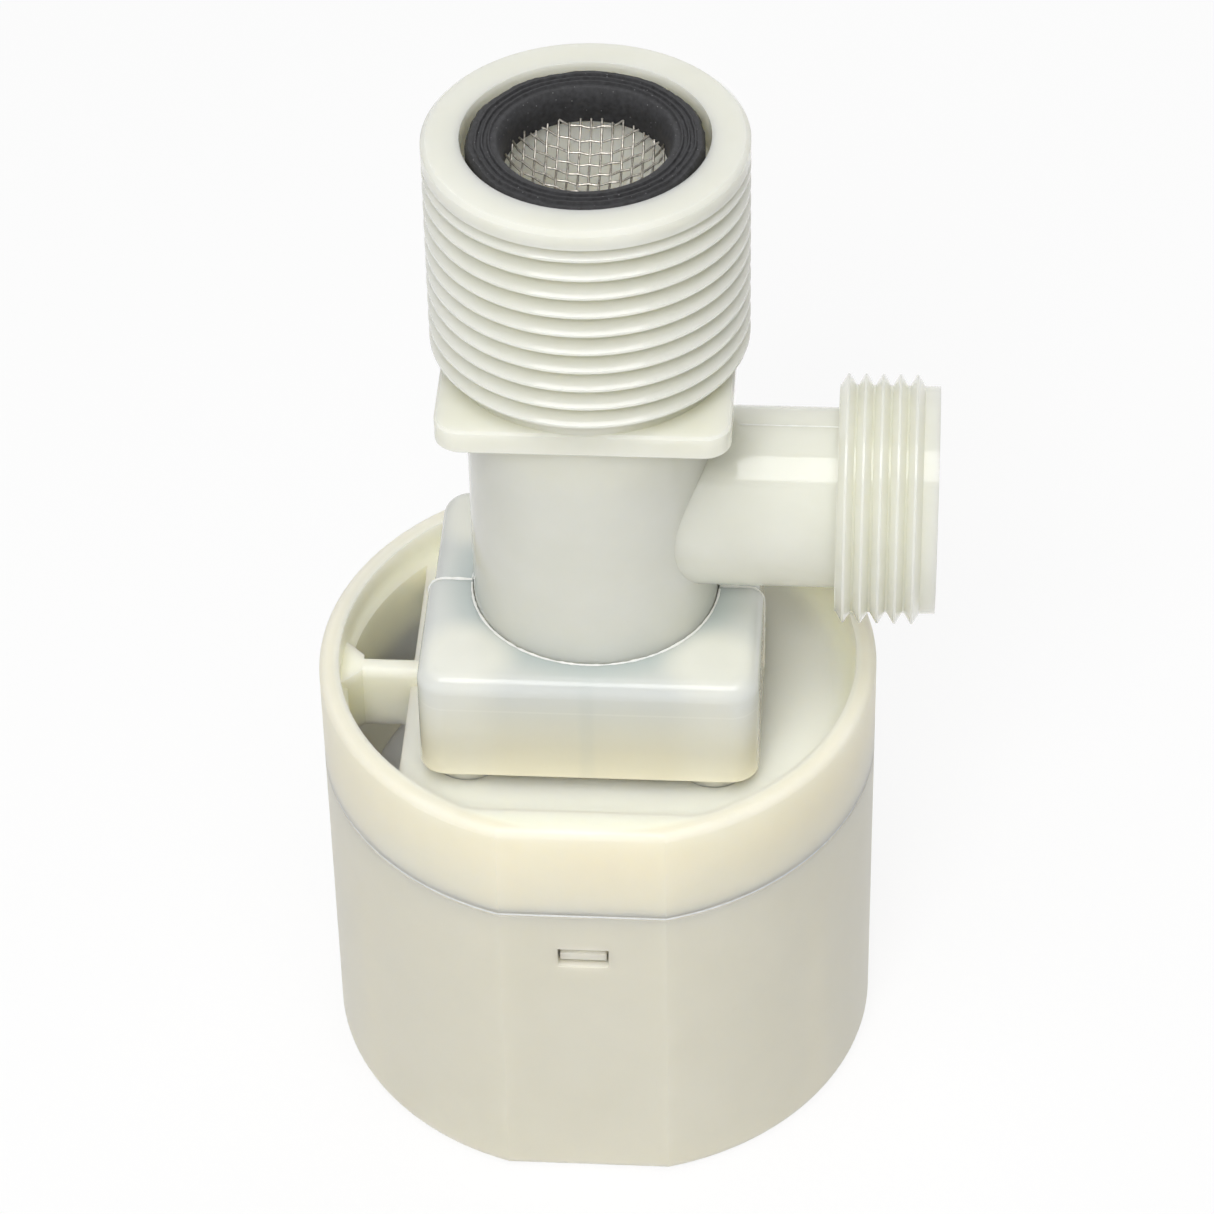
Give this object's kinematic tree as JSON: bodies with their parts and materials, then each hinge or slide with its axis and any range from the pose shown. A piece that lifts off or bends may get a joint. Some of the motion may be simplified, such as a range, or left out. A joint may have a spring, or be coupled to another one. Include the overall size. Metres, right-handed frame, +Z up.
{
  "type": "float valve",
  "caption": "Pilot-operated float valve with a threaded strainer inlet on top, a threaded side outlet, and a float bucket with a clipped cup below.",
  "frame": {"origin": "centre of the bucket's flat bottom, on the inlet's axis", "axes": "+Z up along the inlet's axis, +X along the outlet, -Y at the front latch"},
  "size_m": [0.067, 0.0582, 0.1207],
  "materials": {
    "body_polymer": "moulded, satin gloss",
    "cover_polymer": "moulded, translucent",
    "bucket_polymer": "moulded, satin gloss",
    "float_polymer": "moulded",
    "valve_polymer": "moulded",
    "black_rubber": "moulded",
    "silicone": "moulded",
    "stainless": "drawn"
  },
  "bodies": {
    "housing": {"valve_body": "body_polymer", "inlet_gasket": "black_rubber", "inlet_strainer": "stainless", "cover_front": "cover_polymer", "cover_back": "cover_polymer", "diaphragm": "black_rubber", "closing_spring": "stainless", "pilot_cap": "valve_polymer", "pilot_nozzle": "valve_polymer", "bleed_pin": "stainless", "deck_screws": "stainless", "bucket_ring": "bucket_polymer", "bucket_cup": "bucket_polymer", "lever_pin": "stainless"},
    "float": {"float_shell": "float_polymer", "float_lid": "float_polymer", "float_stem": "float_polymer", "link_pin": "stainless"},
    "lever": {"pilot_lever": "valve_polymer", "pilot_plug": "silicone"},
    "main_valve": {"main_disc": "valve_polymer", "disc_retainer": "valve_polymer"},
    "drain": {"drain_float": "float_polymer", "drain_washer": "silicone", "drain_clip": "valve_polymer"}
  },
  "joints": [
    {"name": "float_slide", "type": "slide", "parent": "housing", "child": "float", "axis": [0, 0, 1], "range_m": [0, 0.005]},
    {"name": "lever_hinge", "type": "hinge", "parent": "housing", "child": "lever", "pos_m": [0.007, 0, 0.0372], "axis": [0, 1, 0], "range_deg": [0, 13.03]},
    {"name": "main_valve_slide", "type": "slide", "parent": "housing", "child": "main_valve", "axis": [0, 0, -1], "range_m": [0, 0.0025], "stiffness_N_per_m": 150, "springref_m": -0.004, "deforming": ["diaphragm", "closing_spring"]},
    {"name": "drain_slide", "type": "slide", "parent": "housing", "child": "drain", "axis": [0, 0, 1], "range_m": [0, 0.0014]}
  ],
  "couplings": [
    {"joint": "lever_hinge", "follows": "float_slide", "rad_per_m": 45.455}
  ]
}
